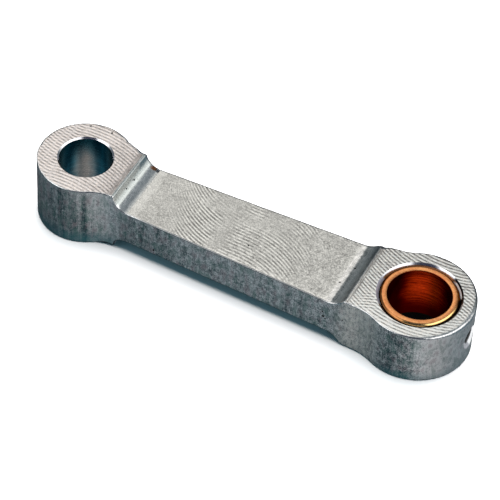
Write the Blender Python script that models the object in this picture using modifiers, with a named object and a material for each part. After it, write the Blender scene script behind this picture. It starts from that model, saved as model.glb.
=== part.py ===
"""Connecting rod of a small single-cylinder engine, as two separate pieces.

rod_body is machined from aluminium: a small end for the gudgeon pin, a big end for the crankpin and
a flat tapering beam milled down between them.  big_end_bush is the bronze bush pressed into the big
end.  An oil hole runs in through the tip of the big end and through the bush.

The rod lies flat.  Its length is along X with the big end at +X, and both bores are along Z.  The
origin is under the middle of the rod, level with the underside of the small end, the thicker end.
Each shape is modelled about the small end's axis (x = 0) and the rod's middle plane (z = 0), and
the body's location then moves it to that origin.
"""

import math

import bpy
import bmesh
from mathutils import Vector

MM = 0.001

# Rod body.
CENTRE_DISTANCE = 40.7 * MM
SMALL_END_RADIUS = 5.45 * MM
SMALL_END_THICKNESS = 8.0 * MM
SMALL_BORE_RADIUS = 3.0 * MM
SMALL_BORE_CHAMFER = 0.17 * MM
BIG_END_RADIUS = 6.2 * MM
BIG_END_THICKNESS = 6.8 * MM
BEAM_THICKNESS = 4.5 * MM
BEAM_HALF_WIDTH_AT_MIDDLE = 4.43 * MM
BEAM_TAPER_SLOPE = 0.034            # growth of the half width per unit of length, to the big end
PLAN_FILLET_RADIUS = 5.2 * MM       # between each round end and the beam, seen from above
RUN_OUT_RADIUS = 1.75 * MM          # left by the cutter where the beam's faces rise to the ends
SMALL_RUN_OUT_START = 7.35 * MM     # where the beam's flat faces stop, from the small end's axis
BIG_RUN_OUT_START = 8.3 * MM        # the same, from the big end's axis
DEBURR = 0.12 * MM                  # broken edge all round the outline

# Bush and its seat in the big end.
BUSH_INNER_RADIUS = 3.5 * MM
BUSH_OUTER_RADIUS = 4.25 * MM
BUSH_INNER_CHAMFER = 0.07 * MM
BUSH_OUTER_CHAMFER = 0.2 * MM
BUSH_SEAT_GAP = 0.02 * MM
SEAT_CHAMFER = 0.42 * MM

# Oil hole, along X through the tip of the big end.
OIL_HOLE_RADIUS = 1.0 * MM
OIL_HOLE_CHAMFER = 0.35 * MM

# Facets.
ROUND_STEPS = 72                    # round a full circle
OIL_HOLE_STEPS = 24
ARC_STEP = math.radians(5)          # along the arcs of the outlines
OVERSHOOT = 1.0 * MM                # how far a cutter reaches past the face it opens
MERGE_DISTANCE = 0.001 * MM
CREASE_ANGLE = math.radians(35)

ALUMINIUM = {"name": "machined_aluminium", "colour": (0.66, 0.65, 0.62), "roughness": 0.42}
BRONZE = {"name": "bush_bronze", "colour": (0.78, 0.43, 0.2), "roughness": 0.28}


def clear_scene():
    for obj in list(bpy.context.scene.objects):
        bpy.data.objects.remove(obj, do_unlink=True)


def new_collection(name):
    collection = bpy.data.collections.new(name)
    bpy.context.scene.collection.children.link(collection)
    return collection


def metal(name, colour, roughness):
    material = bpy.data.materials.new(name)
    material.use_nodes = True
    shader = material.node_tree.nodes["Principled BSDF"]
    shader.inputs["Base Color"].default_value = (*colour, 1.0)
    shader.inputs["Metallic"].default_value = 1.0
    shader.inputs["Roughness"].default_value = roughness
    return material


def arc(centre, radius, start, end):
    """Points along an arc, both ends included, in steps of about ARC_STEP."""
    count = max(2, round(abs(end - start) / ARC_STEP))
    angles = [start + (end - start) * i / count for i in range(count + 1)]
    return [Vector((centre[0] + radius * math.cos(a), centre[1] + radius * math.sin(a)))
            for a in angles]


def direction_angle(vector):
    return math.atan2(vector.y, vector.x)


def plan_outline():
    """The rod seen from above: two round ends joined to a tapering beam by concave fillets."""
    slope_angle = math.atan(BEAM_TAPER_SLOPE)
    along = Vector((math.cos(slope_angle), math.sin(slope_angle)))
    outward = Vector((-along.y, along.x))
    beam_edge = Vector((CENTRE_DISTANCE / 2, BEAM_HALF_WIDTH_AT_MIDDLE))

    def fillet_centre(end_centre, end_radius, side):
        """The point one fillet radius off both the beam's edge and the round end."""
        start = beam_edge + outward * PLAN_FILLET_RADIUS - end_centre
        reach = end_radius + PLAN_FILLET_RADIUS
        b = start.dot(along)
        root = math.sqrt(b * b - start.dot(start) + reach * reach)
        return end_centre + start + along * (side * root - b)

    small_centre = Vector((0, 0))
    big_centre = Vector((CENTRE_DISTANCE, 0))
    small_fillet = fillet_centre(small_centre, SMALL_END_RADIUS, 1)
    big_fillet = fillet_centre(big_centre, BIG_END_RADIUS, -1)
    to_small_fillet = direction_angle(small_fillet - small_centre)
    to_big_fillet = direction_angle(big_fillet - big_centre)
    beam_side = slope_angle - math.pi / 2

    upper = arc(small_centre, SMALL_END_RADIUS, math.pi, to_small_fillet)
    upper += arc(small_fillet, PLAN_FILLET_RADIUS, to_small_fillet - math.pi, beam_side)
    upper += arc(big_fillet, PLAN_FILLET_RADIUS, beam_side, to_big_fillet - math.pi)
    upper += arc(big_centre, BIG_END_RADIUS, to_big_fillet, 0)
    lower = [Vector((p.x, -p.y)) for p in reversed(upper[1:-1])]
    return upper + lower


def side_outline():
    """The rod seen from the side: full height at both ends, milled down to the beam between."""
    beam_top = BEAM_THICKNESS / 2
    arc_height = beam_top + RUN_OUT_RADIUS
    big_run_out_start = CENTRE_DISTANCE - BIG_RUN_OUT_START

    def run_out(start_x, face, side):
        """The arc from the beam's face up to an end face, on the side given by -1 or 1."""
        rise = math.acos((arc_height - face) / RUN_OUT_RADIUS)
        return arc((start_x, arc_height), RUN_OUT_RADIUS, -math.pi / 2, -math.pi / 2 + side * rise)

    small_face = SMALL_END_THICKNESS / 2
    big_face = BIG_END_THICKNESS / 2
    upper = [Vector((-SMALL_END_RADIUS - OVERSHOOT, small_face))]
    upper += reversed(run_out(SMALL_RUN_OUT_START, small_face, -1))
    upper += run_out(big_run_out_start, big_face, 1)
    upper += [Vector((CENTRE_DISTANCE + BIG_END_RADIUS + OVERSHOOT, big_face))]
    lower = [Vector((p.x, -p.y)) for p in reversed(upper)]
    return upper + lower


def extruded(name, outline, thickness, collection):
    """A closed mesh from an outline in its XY plane, extruded evenly to both sides of it."""
    curve = bpy.data.curves.new(name, "CURVE")
    curve.dimensions = "2D"
    curve.fill_mode = "BOTH"
    curve.extrude = thickness / 2
    spline = curve.splines.new("POLY")
    spline.points.add(len(outline) - 1)
    for point, place in zip(spline.points, outline):
        point.co = (place.x, place.y, 0, 1)
    spline.use_cyclic_u = True
    curve_object = bpy.data.objects.new(name + "_curve", curve)
    collection.objects.link(curve_object)

    depsgraph = bpy.context.evaluated_depsgraph_get()
    mesh = bpy.data.meshes.new_from_object(curve_object.evaluated_get(depsgraph))
    bpy.data.objects.remove(curve_object, do_unlink=True)
    welded = bmesh.new()
    welded.from_mesh(mesh)
    bmesh.ops.remove_doubles(welded, verts=welded.verts, dist=MERGE_DISTANCE)
    bmesh.ops.dissolve_limit(welded, angle_limit=math.radians(0.1), verts=welded.verts,
                             edges=welded.edges)
    bmesh.ops.recalc_face_normals(welded, faces=welded.faces)
    welded.to_mesh(mesh)
    welded.free()
    obj = bpy.data.objects.new(name, mesh)
    collection.objects.link(obj)
    return obj


def turned(name, profile, steps, collection, closed):
    """A solid turned about Z from (radius, height) points that run down its outer side."""
    mesh = bpy.data.meshes.new(name)
    edges = [(i, i + 1) for i in range(len(profile) - 1)]
    if closed:
        edges.append((len(profile) - 1, 0))
    mesh.from_pydata([(radius, 0, height) for radius, height in profile], edges, [])
    obj = bpy.data.objects.new(name, mesh)
    collection.objects.link(obj)
    screw = obj.modifiers.new("turn", "SCREW")
    screw.steps = steps
    screw.render_steps = steps
    screw.use_merge_vertices = True
    screw.merge_threshold = MERGE_DISTANCE
    return obj


def bore_cutter(name, radius, chamfer, thickness, collection):
    """A cylinder that flares at both ends, to cut a bore with a chamfer at each face."""
    face = thickness / 2
    flare = radius + chamfer + OVERSHOOT
    profile = [(0, face + OVERSHOOT), (flare, face + OVERSHOOT), (radius, face - chamfer),
               (radius, chamfer - face), (flare, -face - OVERSHOOT), (0, -face - OVERSHOOT)]
    return turned(name, profile, ROUND_STEPS, collection, closed=False)


def oil_hole_cutter(collection):
    """A drill with a countersink, lying along +X from inside the bush to past the tip."""
    tip = BIG_END_RADIUS
    flare = OIL_HOLE_RADIUS + OIL_HOLE_CHAMFER + OVERSHOOT
    inner_end = BUSH_INNER_RADIUS / 2
    profile = [(0, tip + OVERSHOOT), (flare, tip + OVERSHOOT),
               (OIL_HOLE_RADIUS, tip - OIL_HOLE_CHAMFER), (OIL_HOLE_RADIUS, inner_end),
               (0, inner_end)]
    cutter = turned("oil_hole_cutter", profile, OIL_HOLE_STEPS, collection, closed=False)
    cutter.rotation_euler = (0, math.pi / 2, 0)
    return cutter


def boolean(obj, other, operation):
    modifier = obj.modifiers.new(other.name, "BOOLEAN")
    modifier.operation = operation
    modifier.object = other
    modifier.solver = "EXACT"


def hide_cutters(collection):
    for obj in collection.objects:
        obj.hide_render = True
        obj.display_type = "WIRE"


def apply_modifiers(obj):
    """Keep the object's evaluated mesh, shaded smooth up to the crease angle."""
    depsgraph = bpy.context.evaluated_depsgraph_get()
    mesh = bpy.data.meshes.new_from_object(obj.evaluated_get(depsgraph))
    obj.modifiers.clear()
    obj.data = mesh
    mesh.shade_smooth()
    mesh.set_sharp_from_angle(angle=CREASE_ANGLE)


def make_rod_body(parts, cutters):
    body = extruded("rod_body", plan_outline(), SMALL_END_THICKNESS + OVERSHOOT, parts)
    side = extruded("side_profile", side_outline(), 4 * BIG_END_RADIUS, cutters)
    side.rotation_euler = (math.pi / 2, 0, 0)
    boolean(body, side, "INTERSECT")
    deburr = body.modifiers.new("deburr", "BEVEL")
    deburr.width = DEBURR
    deburr.segments = 1
    deburr.limit_method = "ANGLE"
    deburr.angle_limit = CREASE_ANGLE
    deburr.use_clamp_overlap = False

    small_bore = bore_cutter("small_bore_cutter", SMALL_BORE_RADIUS, SMALL_BORE_CHAMFER,
                             SMALL_END_THICKNESS, cutters)
    boolean(body, small_bore, "DIFFERENCE")
    seat = bore_cutter("bush_seat_cutter", BUSH_OUTER_RADIUS + BUSH_SEAT_GAP,
                       SEAT_CHAMFER, BIG_END_THICKNESS, cutters)
    seat.location.x = CENTRE_DISTANCE
    boolean(body, seat, "DIFFERENCE")
    return body


def make_bush(parts):
    face = BIG_END_THICKNESS / 2
    inner, outer = BUSH_INNER_RADIUS, BUSH_OUTER_RADIUS
    profile = [(inner + BUSH_INNER_CHAMFER, face), (outer - BUSH_OUTER_CHAMFER, face),
               (outer, face - BUSH_OUTER_CHAMFER), (outer, BUSH_OUTER_CHAMFER - face),
               (outer - BUSH_OUTER_CHAMFER, -face), (inner + BUSH_INNER_CHAMFER, -face),
               (inner, BUSH_INNER_CHAMFER - face), (inner, face - BUSH_INNER_CHAMFER)]
    return turned("big_end_bush", profile, ROUND_STEPS, parts, closed=True)


def main():
    clear_scene()
    parts = new_collection("connecting_rod")
    cutters = new_collection("cutters")
    big_end_centre = Vector((CENTRE_DISTANCE, 0, 0))

    body = make_rod_body(parts, cutters)
    bush = make_bush(parts)
    bush.location = big_end_centre
    oil_hole = oil_hole_cutter(cutters)
    oil_hole.location = big_end_centre
    for piece in (body, bush):
        boolean(piece, oil_hole, "DIFFERENCE")
    hide_cutters(cutters)
    for piece, finish in ((body, ALUMINIUM), (bush, BRONZE)):
        apply_modifiers(piece)
        piece.data.materials.clear()
        piece.data.materials.append(metal(**finish))

    middle = (CENTRE_DISTANCE + BIG_END_RADIUS - SMALL_END_RADIUS) / 2
    body.location = (-middle, 0, SMALL_END_THICKNESS / 2)
    bush.parent = body


main()
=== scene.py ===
import bisect
import math

import bmesh
import bpy
from mathutils import Matrix, Vector, noise
from mathutils.geometry import delaunay_2d_cdt


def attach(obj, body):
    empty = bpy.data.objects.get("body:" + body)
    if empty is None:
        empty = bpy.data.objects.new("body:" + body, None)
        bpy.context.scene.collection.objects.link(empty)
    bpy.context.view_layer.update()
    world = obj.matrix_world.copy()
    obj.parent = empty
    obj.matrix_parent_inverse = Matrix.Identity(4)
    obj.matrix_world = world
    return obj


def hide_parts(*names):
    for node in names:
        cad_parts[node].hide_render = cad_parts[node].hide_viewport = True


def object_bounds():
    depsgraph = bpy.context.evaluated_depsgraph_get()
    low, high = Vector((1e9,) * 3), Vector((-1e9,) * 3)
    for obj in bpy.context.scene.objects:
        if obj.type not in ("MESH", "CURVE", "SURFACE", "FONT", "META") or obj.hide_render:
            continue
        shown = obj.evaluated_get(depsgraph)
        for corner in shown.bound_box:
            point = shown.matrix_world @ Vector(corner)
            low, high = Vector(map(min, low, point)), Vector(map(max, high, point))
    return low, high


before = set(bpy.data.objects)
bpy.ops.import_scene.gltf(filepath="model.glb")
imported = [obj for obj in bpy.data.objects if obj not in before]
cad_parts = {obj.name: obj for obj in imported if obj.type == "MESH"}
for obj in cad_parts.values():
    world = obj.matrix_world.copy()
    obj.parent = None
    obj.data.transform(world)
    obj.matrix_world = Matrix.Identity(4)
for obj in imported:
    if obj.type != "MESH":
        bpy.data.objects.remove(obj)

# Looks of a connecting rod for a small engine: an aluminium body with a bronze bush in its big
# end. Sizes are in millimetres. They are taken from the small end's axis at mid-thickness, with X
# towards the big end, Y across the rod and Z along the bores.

CAD_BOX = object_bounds()
MM = 0.001
TURN = 2 * math.pi

# Rod body
CENTRE_DISTANCE = 40.7
SMALL_RADIUS = 5.45
SMALL_HALF = 4.0
SMALL_BORE_RADIUS = 3.0
SMALL_BORE_CHAMFER = 0.17
BIG_RADIUS = 6.2
BIG_HALF = 3.4
SEAT_RADIUS = 4.27
SEAT_CHAMFER = 0.42
BEAM_HALF = 2.25
BEAM_EDGE_AT_MIDDLE = 4.43
BEAM_MIDDLE = 20.35
BEAM_TAPER = 0.034
FILLET_RADIUS = 5.2
SMALL_COVE_RADIUS = 1.75
BIG_COVE_RADIUS = 2.6
SMALL_FOOT = 7.35
BIG_FOOT = 31.9
SMALL_LIP = 0.28
BIG_LIP = 0.3
DEBURR = 0.11
LEAST_DEBURR = 0.05
MOST_DEBURR = DEBURR * 1.4
TIP_X = CENTRE_DISTANCE + BIG_RADIUS

# Corners filed off: extra width of the broken edge, and its middle and reach along X. The tip's
# middle and reach are angles round the big end's axis.
FILED_FAR_SIDE = ((0.5, 34.25, 0.8), (0.22, 34.9, 1.2), (0.35, 5.1, 0.9), (0.1, 1.9, 1.4))
FILED_TIP = (0.22, -0.45, 1.2)
FILED_BELOW = (0.4, 4.9, 1.9)
FILED_TOWARDS_FAR_SIDE = 0.11
FILED_NEAR_SIDE = 0.03

# Bush and oil hole
BUSH_BORE_RADIUS = 3.5
BUSH_BORE_CHAMFER = 0.07
BUSH_RADIUS = 4.25
BUSH_CHAMFER = 0.2
BUSH_RECESS = 0.03
GROOVE_RADIUS = 4.35
GROOVE_DEPTH = 0.6
GROOVE_FLOOR_DROP = 0.02
GROOVE_DRAFT = 0.04
OIL_HOLE_RADIUS = 1.0
OIL_HOLE_COUNTERSINK = 0.45
CUTTER_OVERRUN = 0.4

# Pores and knocks: place, and radius
PORES = (
    ((10.8, -4.1, -1.6), 0.15), ((31.7, -4.82, 0.5), 0.13), ((31.85, -4.82, -0.2), 0.16),
    ((32.1, -4.83, -0.45), 0.12), ((35.8, -3.83, 1.8), 0.12), ((34.1, -4.93, 0.5), 0.1),
    ((5.9, 0.4, 3.02), 0.12), ((5.8, 0.2, 3.1), 0.1), ((5.85, -1.3, 3.06), 0.11),
    ((32.1, -1.6, 2.25), 0.1), ((21.1, -1.6, 2.26), 0.11), ((32.7, 0.9, 2.37), 0.12),
    ((-1.9, 4.5, 4.0), 0.12), ((0.7, 4.7, 4.0), 0.13),
)

# Mesh spacing, and the angle from which an edge is sharp
FACE_STEP = 0.22
FACE_COLUMN_STEP = FACE_STEP * 0.87
RUN_OUT_STEP = 0.26
ARC_STEP = 0.16
LIP_STEP = 0.06
RIM_CLEARANCE = 0.1
WALL_ROWS = 12
EDGE_ROWS = 3
BORE_ROWS = 8
BORE_COLUMNS = 128
BUSH_COLUMNS = 160
OIL_HOLE_COLUMNS = 56
SHARP_ANGLE = math.radians(38)
RIM_MATCH = 0.04
TRIANGLE_TOLERANCE = 1e-7
TINY = 1e-9

ORIGIN = Vector((CAD_BOX[0].x / MM + SMALL_RADIUS, 0.0, SMALL_HALF))


# ------------------------ shape of the rod


def run_out(foot, radius, face_half, lip, way):
    """Points (x, z) from the beam to a boss face: a milled cove, then a rounded lip."""
    centre = BEAM_HALF + radius
    reach = radius + lip
    top = math.acos((centre + lip - face_half) / reach)
    points = []
    steps = math.ceil(top * radius / ARC_STEP)
    for i in range(steps):
        a = top * i / steps
        points.append((foot + way * radius * math.sin(a), centre - radius * math.cos(a)))
    steps = math.ceil(top * lip / LIP_STEP)
    for i in range(steps + 1):
        a = top * (1 - i / steps)
        x = foot + way * (reach * math.sin(top) - lip * math.sin(a))
        points.append((x, face_half - lip + lip * math.cos(a)))
    return points


def flat(start, end, z):
    """Points (x, z) strictly between start and end."""
    steps = math.ceil((end - start) / FACE_STEP)
    return [(start + (end - start) * i / steps, z) for i in range(1, steps)]


class Profile:
    """The rod's top line from tip to tip: height and arc length for each x."""

    def __init__(self):
        small = run_out(SMALL_FOOT, SMALL_COVE_RADIUS, SMALL_HALF, SMALL_LIP, -1)[::-1]
        big = run_out(BIG_FOOT, BIG_COVE_RADIUS, BIG_HALF, BIG_LIP, 1)
        points = [(-SMALL_RADIUS, SMALL_HALF)]
        points += [*flat(-SMALL_RADIUS, small[0][0], SMALL_HALF), *small]
        points += [*flat(SMALL_FOOT, BIG_FOOT, BEAM_HALF), *big]
        points += [*flat(big[-1][0], TIP_X, BIG_HALF), (TIP_X, BIG_HALF)]
        self.x = [p[0] for p in points]
        self.z = [p[1] for p in points]
        self.t = [0.0]
        for (x0, z0), (x1, z1) in zip(points, points[1:]):
            self.t.append(self.t[-1] + math.hypot(x1 - x0, z1 - z0))
        self.borders = (small[0][0], SMALL_FOOT, BIG_FOOT, big[-1][0])

    def at(self, keys, values, key):
        """The value at a key, on a straight line between its neighbours."""
        i = min(max(bisect.bisect_right(keys, key) - 1, 0), len(keys) - 2)
        part = (key - keys[i]) / (keys[i + 1] - keys[i])
        return values[i] + (values[i + 1] - values[i]) * min(max(part, 0.0), 1.0)

    def height(self, x):
        return self.at(self.x, self.z, x)

    def length(self, x):
        return self.at(self.x, self.t, x)

    def place(self, t):
        return self.at(self.t, self.x, t), self.at(self.t, self.z, t)


class Fillet:
    """The concave round between a boss and the beam's edge, on the +Y side."""

    def __init__(self, boss_x, boss_radius, way):
        self.boss_x, self.boss_radius = boss_x, boss_radius
        along = Vector((1.0, BEAM_TAPER)).normalized()
        self.across = Vector((-along.y, along.x))
        start = Vector((BEAM_MIDDLE, BEAM_EDGE_AT_MIDDLE)) + self.across * FILLET_RADIUS
        gap = start - Vector((boss_x, 0.0))
        half = gap.dot(along)
        root = math.sqrt(half * half - gap.length_squared + (boss_radius + FILLET_RADIUS) ** 2)
        self.centre = start + along * (-half + way * root)
        self.line_x = (self.centre - self.across * FILLET_RADIUS).x
        to_centre = self.centre - Vector((boss_x, 0.0))
        self.angle = math.atan2(to_centre.y, to_centre.x)
        self.boss_end_x = boss_x + boss_radius * math.cos(self.angle)

    def point(self, x):
        dx = x - self.centre.x
        drop = math.sqrt(FILLET_RADIUS**2 - dx * dx)
        return Vector((x, self.centre.y - drop)), Vector((-dx, drop)) / FILLET_RADIUS


SMALL_FILLET = Fillet(0.0, SMALL_RADIUS, 1)
BIG_FILLET = Fillet(CENTRE_DISTANCE, BIG_RADIUS, -1)
PROFILE = Profile()


def side_point(x):
    """A point of the rod's +Y side between the bosses, and its outward direction."""
    if x < SMALL_FILLET.line_x:
        return SMALL_FILLET.point(x)
    if x > BIG_FILLET.line_x:
        return BIG_FILLET.point(x)
    edge = Vector((x, BEAM_EDGE_AT_MIDDLE + BEAM_TAPER * (x - BEAM_MIDDLE)))
    return edge, BIG_FILLET.across.copy()


def boss_arc(fillet, start, end):
    """Points and outward directions round a boss between two angles, without the last."""
    steps = math.ceil((end - start) * fillet.boss_radius / FACE_STEP)
    for i in range(steps):
        a = start + (end - start) * i / steps
        way = Vector((math.cos(a), math.sin(a)))
        yield Vector((fillet.boss_x, 0.0)) + way * fillet.boss_radius, way


def outline():
    """The plan outline, anticlockwise from the big end's tip: points and outward directions."""
    xs = [x for x in PROFILE.x if SMALL_FILLET.boss_end_x < x < BIG_FILLET.boss_end_x]
    far = [side_point(x) for x in reversed([SMALL_FILLET.boss_end_x, *xs, BIG_FILLET.boss_end_x])]
    mirror = Vector((1.0, -1.0))
    near = [(p * mirror, n * mirror) for p, n in reversed(far)]
    columns = [*boss_arc(BIG_FILLET, 0.0, BIG_FILLET.angle), *far[:-1]]
    columns += [*boss_arc(SMALL_FILLET, SMALL_FILLET.angle, TURN - SMALL_FILLET.angle), *near[:-1]]
    columns += [*boss_arc(BIG_FILLET, TURN - BIG_FILLET.angle, TURN)]
    return columns


def bump_shape(x, height, middle, reach):
    """The height at the middle, falling smoothly to 0 at the reach."""
    part = min(abs(x - middle) / reach, 1.0)
    return height * (1 - part * part) ** 2


def deburr(point, side):
    """Width of the broken edge, which wavers and has a few nicks. Side is 1 on top, -1 below."""
    spot = Vector((point.x, point.y, 7.0 * side))
    width = DEBURR * (1 + 0.35 * noise.noise(spot * 0.7) + 0.2 * noise.noise(spot * 3.1))
    width += 0.35 * max(noise.noise(spot * 2.3) - 0.42, 0.0)
    return max(width, LEAST_DEBURR) + filed(point, side)


def filed(point, side):
    """Extra width where a corner was filed off, most of it by the run-outs and at the tip."""
    if side < 0:
        return bump_shape(point.x, *FILED_BELOW)
    width = bump_shape(math.atan2(point.y, point.x - CENTRE_DISTANCE), *FILED_TIP)
    width += FILED_TOWARDS_FAR_SIDE * min(max((point.y + 2.0) / 3.0, 0.0), 1.0)
    if point.y > 0:
        return width + sum(bump_shape(point.x, *corner) for corner in FILED_FAR_SIDE)
    return width + FILED_NEAR_SIDE


def wall_relief(point):
    """How far the machined side lies inside its nominal outline."""
    spot = Vector((point.x, point.y, 3.0))
    return 0.008 + 0.006 * noise.noise(spot * 0.45) + 0.002 * noise.noise(spot * 1.7)


class Mesh:
    """Points and faces of one piece, with a material number for each face."""

    def __init__(self):
        self.points, self.faces, self.kinds = [], [], []

    def point(self, x, y, z):
        self.points.append((x, y, z))
        return len(self.points) - 1

    def loop(self, centre_x, radius, z, columns=BORE_COLUMNS):
        step = TURN / columns
        return [
            self.point(centre_x + radius * math.cos(i * step), radius * math.sin(i * step), z)
            for i in range(columns)
        ]

    def band(self, lower, upper, kind):
        """Faces between two closed rows of points."""
        count = len(lower)
        for i in range(count):
            j = (i + 1) % count
            self.faces.append((lower[i], lower[j], upper[j], upper[i]))
            self.kinds.append(kind)

    def stack(self, rows, kind):
        for lower, upper in zip(rows, rows[1:]):
            self.band(lower, upper, kind)

    def finish(self, name, materials):
        mesh = bpy.data.meshes.new(name)
        mesh.from_pydata([Vector(p) * MM for p in self.points], [], self.faces)
        mesh.polygons.foreach_set("material_index", self.kinds)
        for material in materials:
            mesh.materials.append(material)
        work = bmesh.new()
        work.from_mesh(mesh)
        bmesh.ops.recalc_face_normals(work, faces=work.faces)
        work.to_mesh(mesh)
        work.free()
        shade(mesh)
        piece = bpy.data.objects.new(name, mesh)
        piece.location = ORIGIN * MM
        bpy.context.scene.collection.objects.link(piece)
        return piece


def shade(mesh):
    mesh.polygons.foreach_set("use_smooth", [True] * len(mesh.polygons))
    mesh.set_sharp_from_angle(angle=SHARP_ANGLE)


# The rod body's surfaces, in the order of rod_materials. The first five run along X.
(SMALL_FACE, SMALL_RUN_OUT, BEAM, BIG_RUN_OUT, BIG_FACE, WALL, EDGE, SMALL_BORE, SEAT, OIL_HOLE,
 PIT, GROOVE) = range(12)


def edge_rows(mesh, columns, side):
    """Rows of points over the broken edge, from the flat face round to the wall."""
    rows = [[] for _ in range(EDGE_ROWS + 1)]
    for point, out in columns:
        width, relief = deburr(point, side), wall_relief(point)
        for k, row in enumerate(rows):
            a = math.pi / 2 * k / EDGE_ROWS
            spot = point - out * (relief + width * (1 - math.sin(a)))
            z = PROFILE.height(spot.x) - width * (1 - math.cos(a))
            row.append(mesh.point(spot.x, spot.y, side * z))
    return rows


def add_walls(mesh, columns, top, bottom):
    """The rod's side, from the bottom edge up to the top edge."""
    rows = [bottom]
    for k in range(1, WALL_ROWS):
        part = k / WALL_ROWS
        row = []
        for i, (point, out) in enumerate(columns):
            low, high = Vector(mesh.points[bottom[i]]), Vector(mesh.points[top[i]])
            spot = low.lerp(high, part)
            dent = 0.006 * (1 + noise.noise(Vector((spot.x, spot.y, spot.z * 0.6)) * 1.1))
            row.append(mesh.point(spot.x - out.x * dent, spot.y - out.y * dent, spot.z))
        rows.append(row)
    rows.append(top)
    mesh.stack(rows, WALL)


def face_kind(x):
    """Which machined surface lies at x on the top or the bottom."""
    return bisect.bisect_right(PROFILE.borders, x)


def clear_of_edges(x, y, side):
    """True if a point of the face keeps its distance from the outline and the bores."""
    from_small, from_big = math.hypot(x, y), math.hypot(x - CENTRE_DISTANCE, y)
    if from_small < SMALL_BORE_RADIUS + SMALL_BORE_CHAMFER + RIM_CLEARANCE:
        return False
    if from_big < SEAT_RADIUS + SEAT_CHAMFER + RIM_CLEARANCE:
        return False
    inner = RIM_CLEARANCE + MOST_DEBURR
    if x < SMALL_FILLET.boss_end_x:
        return from_small < SMALL_RADIUS - inner - filed(Vector((x, y)), side)
    if x > BIG_FILLET.boss_end_x:
        return from_big < BIG_RADIUS - inner - filed(Vector((x, y)), side)
    point, _ = side_point(x)
    if y < 0:
        point = point * Vector((1.0, -1.0))
    return abs(y) < abs(point.y) - inner * 1.15 - filed(point, side)


def face_columns():
    """Lines across the rod, as (t, spacing across): close together only on the run-outs."""
    ends = [0.0, *(PROFILE.length(b) for b in PROFILE.borders), PROFILE.t[-1]]
    columns = []
    for surface, (start, end) in enumerate(zip(ends, ends[1:])):
        if surface in (SMALL_RUN_OUT, BIG_RUN_OUT):
            columns += [(t, RUN_OUT_STEP) for t in PROFILE.t if start - TINY < t < end + TINY]
        else:
            steps = math.ceil((end - start) / FACE_COLUMN_STEP)
            columns += [(start + (end - start) * i / steps, FACE_STEP) for i in range(1, steps)]
    return columns


class FaceSheet:
    """A milled face laid out flat, as arc length along the rod and Y, to be triangulated."""

    def __init__(self, mesh, loops):
        self.mesh, self.outer = mesh, loops[0]
        self.spots, self.numbers, self.edges, self.loops = [], [], [], []
        for number, loop in enumerate(loops):
            first, count = len(self.spots), len(loop)
            for index in loop:
                x, y, _ = mesh.points[index]
                self.add(PROFILE.length(x), y, index)
            self.loops += [number] * count
            self.edges += [(first + i, first + (i + 1) % count) for i in range(count)]

    def add(self, t, y, index):
        self.spots.append(Vector((t, y)))
        self.numbers.append(index)
        return len(self.spots) - 1

    def add_column(self, t, ys, side):
        """A line of new points across the rod. Returns their places on the sheet."""
        x, z = PROFILE.place(t)
        clear = [y for y in ys if clear_of_edges(x, y, side)]
        return [self.add(t, y, self.mesh.point(x, y, side * z)) for y in clear]

    def add_border(self, t, line):
        """Keeps triangles from crossing a line where one surface ends, from rim to rim."""
        x, points = PROFILE.place(t)[0], self.mesh.points
        ends = [i for i, p in enumerate(self.outer) if abs(points[p][0] - x) < RIM_MATCH]
        ends.sort(key=lambda i: points[self.outer[i]][1])
        line = [ends[0], *line, ends[-1]]
        self.edges += list(zip(line, line[1:]))

    def finish(self):
        """Adds the triangles that lie inside the outer loop and outside the bores."""
        done, _, triangles, sources, _, _ = delaunay_2d_cdt(
            self.spots, self.edges, [], 0, TRIANGLE_TOLERANCE
        )
        outer = self.spots[: len(self.outer)]
        for triangle in triangles:
            corners = [sources[i][0] for i in triangle]
            middle = sum((done[i] for i in triangle), Vector((0.0, 0.0))) / 3
            on_loop = {self.loops[c] if c < len(self.loops) else None for c in corners}
            if on_loop in ({1}, {2}) or (on_loop == {0} and not encloses(outer, middle)):
                continue
            self.mesh.faces.append(tuple(self.numbers[c] for c in corners))
            self.mesh.kinds.append(face_kind(PROFILE.place(middle.x)[0]))


def add_face(mesh, rim, bores, side):
    """The milled top or bottom, between its rim and the two bores."""
    sheet = FaceSheet(mesh, (rim, *bores))
    borders = {round(PROFILE.length(b), 6) for b in PROFILE.borders}
    for k, (t, step) in enumerate(face_columns()):
        across = int(BIG_RADIUS / step) + 1
        ys = [(j + 0.5 * (k % 2)) * step for j in range(-across, across + 1)]
        line = sheet.add_column(t, ys, side)
        if round(t, 6) in borders:
            sheet.add_border(t, line)
    sheet.finish()


def encloses(loop, spot):
    """True if a closed loop of plane points goes round a spot."""
    inside = False
    for a, b in zip(loop, loop[1:] + loop[:1]):
        if (a.y > spot.y) != (b.y > spot.y):
            if spot.x < a.x + (b.x - a.x) * (spot.y - a.y) / (b.y - a.y):
                inside = not inside
    return inside


def add_bore(mesh, centre_x, mouth, kind, edge_kind):
    """A bore with a shaped mouth at both ends. Returns the rows at the top and bottom faces.

    The mouth is a list of (radius, z) from the face inwards. Only its first band is of edge_kind.
    """
    top = [mesh.loop(centre_x, radius, z) for radius, z in mouth]
    bottom = [mesh.loop(centre_x, radius, -z) for radius, z in mouth]
    radius, wall = mouth[-1]
    heights = [wall * (1 - 2 * k / BORE_ROWS) for k in range(1, BORE_ROWS)]
    inner = [mesh.loop(centre_x, radius, z) for z in heights]
    mesh.band(top[0], top[1], edge_kind)
    mesh.stack([*top[1:], *inner, *bottom[:0:-1]], kind)
    mesh.band(bottom[1], bottom[0], edge_kind)
    return top[0], bottom[0]


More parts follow.
